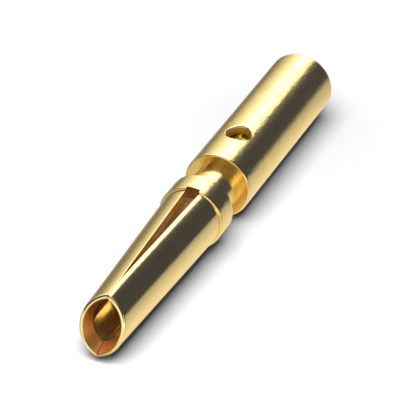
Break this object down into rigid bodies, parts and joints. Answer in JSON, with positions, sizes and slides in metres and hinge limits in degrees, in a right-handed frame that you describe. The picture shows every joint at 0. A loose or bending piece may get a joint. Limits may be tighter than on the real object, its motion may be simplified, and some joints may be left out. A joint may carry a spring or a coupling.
{
  "type": "crimp contact",
  "caption": "Slender turned socket contact: crimp barrel with inspection hole, narrow neck, collar, and slotted tines squeezed together to grip a mating pin.",
  "frame": {"origin": "centre of the flat wire end, on the axis", "axes": "+Z along the axis from the wire end to the mouth; the inspection hole and the open slot face -Y; the tines lie on +X and -X"},
  "size_m": [0.0024, 0.0024, 0.0184],
  "materials": {
    "gold_plate": "bright gold plating over turned brass"
  },
  "bodies": {
    "root": {"crimp_contact": "gold_plate"}
  },
  "joints": []
}
